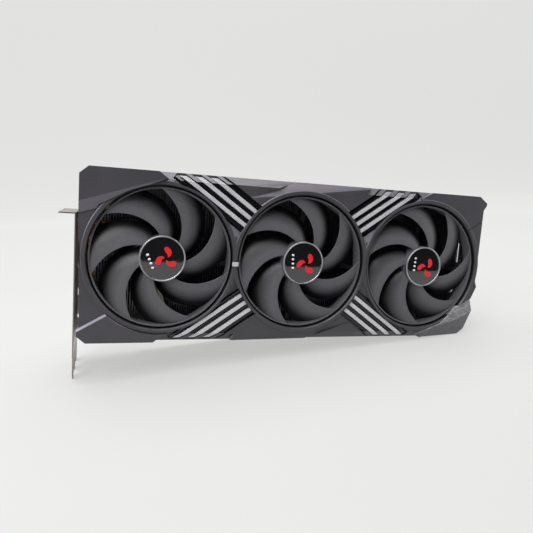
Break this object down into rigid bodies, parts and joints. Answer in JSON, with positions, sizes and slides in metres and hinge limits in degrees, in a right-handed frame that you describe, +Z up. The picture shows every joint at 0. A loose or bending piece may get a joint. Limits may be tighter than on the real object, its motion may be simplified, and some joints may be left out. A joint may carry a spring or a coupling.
{
  "type": "graphics card",
  "caption": "Long triple-fan graphics card with a faceted dark shroud, slanted silver slats, a fin-stack cooler and a vented slot bracket.",
  "frame": {"origin": "edge connector datum: middle of the key notch, at the bottom edge of the contacts, in the middle of the board's thickness", "axes": "+X from the slot bracket to the far end, +Z up from the edge connector to the top edge, fans face -Y"},
  "size_m": [0.3385, 0.0729, 0.1519],
  "materials": {
    "shroud_plastic": "fine moulded texture",
    "panel_plastic": "fine moulded texture",
    "trim_coat": "satin coat with a faint marbled print",
    "channel_gloss": "piano gloss",
    "slat_coat": "silver-grey satin paint",
    "rotor_plastic": "satin moulding",
    "cap_gloss": null,
    "cap_ring_metal": "turned rim",
    "shaft_steel": "ground",
    "magnet_ferrite": "matt sintered",
    "bearing_bronze": "sintered bronze",
    "stator_copper": "enamelled copper on steel laminations",
    "frame_plastic": "moulded",
    "lead_cream": "flat lead",
    "screw_black": "black oxide",
    "fin_aluminium": "stamped fin stock",
    "pipe_copper": "drawn copper tube",
    "plate_copper": "nickel-plated copper",
    "pad_grey": "soft filled pad",
    "rim_black": "black anodised",
    "board_black": "black solder mask",
    "contact_gold": "hard gold plate",
    "package_green": "laminate package",
    "die_silicon": "polished silicon",
    "chip_black": "moulded epoxy",
    "coil_grey": "pressed iron powder",
    "can_black": "lacquered can",
    "socket_black": "glass-filled nylon",
    "header_white": "nylon",
    "backplate_metal": "black anodised, lightly brushed",
    "screw_steel": "plated",
    "bracket_nickel": "dark nickel plate",
    "shell_steel": "plated sheet"
  },
  "bodies": {
    "card": {"front_shroud": "shroud_plastic", "upper_left_panel": "panel_plastic", "lower_left_panel": "panel_plastic", "end_trim": "trim_coat", "slat_channels": "channel_gloss", "slat_bars": "slat_coat", "web_lug": "slat_coat", "left_bearing": "bearing_bronze", "middle_bearing": "bearing_bronze", "right_bearing": "bearing_bronze", "left_stator": "stator_copper", "middle_stator": "stator_copper", "right_stator": "stator_copper", "left_fan_frame": "frame_plastic", "middle_fan_frame": "frame_plastic", "right_fan_frame": "frame_plastic", "left_fan_lead": "lead_cream", "middle_fan_lead": "lead_cream", "right_fan_lead": "lead_cream", "fan_screws": "screw_black", "fin_stack": "fin_aluminium", "heat_pipes": "pipe_copper", "cold_plate": "plate_copper", "thermal_pads": "pad_grey", "board_frame": "rim_black", "circuit_board": "board_black", "edge_contacts": "contact_gold", "gpu_package": "package_green", "gpu_die": "die_silicon", "memory_chips": "chip_black", "power_inductors": "coil_grey", "power_stages": "chip_black", "capacitors": "can_black", "power_socket": "socket_black", "power_pins": "contact_gold", "fan_headers": "header_white", "backplate": "backplate_metal", "backplate_screws": "screw_steel", "slot_bracket": "bracket_nickel", "bracket_screws": "screw_steel", "displayport_shells": "shell_steel", "hdmi_shell": "shell_steel", "port_tongues": "socket_black"},
    "left_fan": {"left_rotor": "rotor_plastic", "left_hub_cap": "cap_gloss", "left_cap_ring": "cap_ring_metal", "left_shaft": "shaft_steel", "left_magnet_ring": "magnet_ferrite"},
    "middle_fan": {"middle_rotor": "rotor_plastic", "middle_hub_cap": "cap_gloss", "middle_cap_ring": "cap_ring_metal", "middle_shaft": "shaft_steel", "middle_magnet_ring": "magnet_ferrite"},
    "right_fan": {"right_rotor": "rotor_plastic", "right_hub_cap": "cap_gloss", "right_cap_ring": "cap_ring_metal", "right_shaft": "shaft_steel", "right_magnet_ring": "magnet_ferrite"}
  },
  "joints": [
    {"name": "left_fan_spin", "type": "hinge", "parent": "card", "child": "left_fan", "pos_m": [-0.001, -0.058, 0.0775], "axis": [0, -1, 0], "continuous": true},
    {"name": "middle_fan_spin", "type": "hinge", "parent": "card", "child": "middle_fan", "pos_m": [0.105, -0.058, 0.0775], "axis": [0, -1, 0], "continuous": true},
    {"name": "right_fan_spin", "type": "hinge", "parent": "card", "child": "right_fan", "pos_m": [0.211, -0.058, 0.0775], "axis": [0, -1, 0], "continuous": true}
  ]
}
